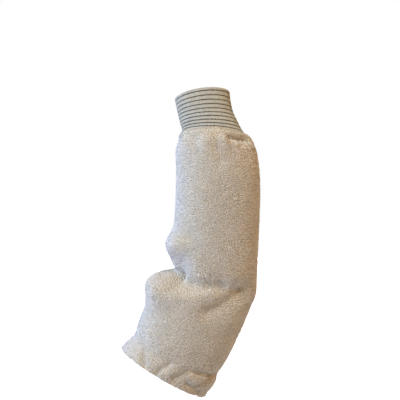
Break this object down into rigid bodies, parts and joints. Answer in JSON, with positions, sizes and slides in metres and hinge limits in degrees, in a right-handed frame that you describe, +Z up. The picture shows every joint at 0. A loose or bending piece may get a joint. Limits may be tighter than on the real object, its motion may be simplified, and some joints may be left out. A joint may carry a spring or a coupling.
{
  "type": "terry cloth arm sleeve",
  "caption": "Protective arm sleeve of terry cloth in the shape of a bent arm, open at both ends, with a ring-striped rib-knit wrist and a turned hem at the upper arm.",
  "frame": {"origin": "on the middle line of the knit cuff, 11.5 mm below its folded rim, where the wrist holds the sleeve", "axes": "+Z up the forearm to the hand, +X to the side of the elbow's point, -Y to the viewer of the picture"},
  "size_m": [0.1861, 0.1127, 0.4136],
  "materials": {
    "terry": "uncut cotton loops, unbleached, matt",
    "hem": "the same terry turned up on itself and stitched",
    "knit": "cream rib knit with fine dark grey-green rings, matt"
  },
  "bodies": {
    "root": {"knit_cuff": "knit", "terry_body": "terry", "arm_hem": "hem"}
  },
  "joints": []
}
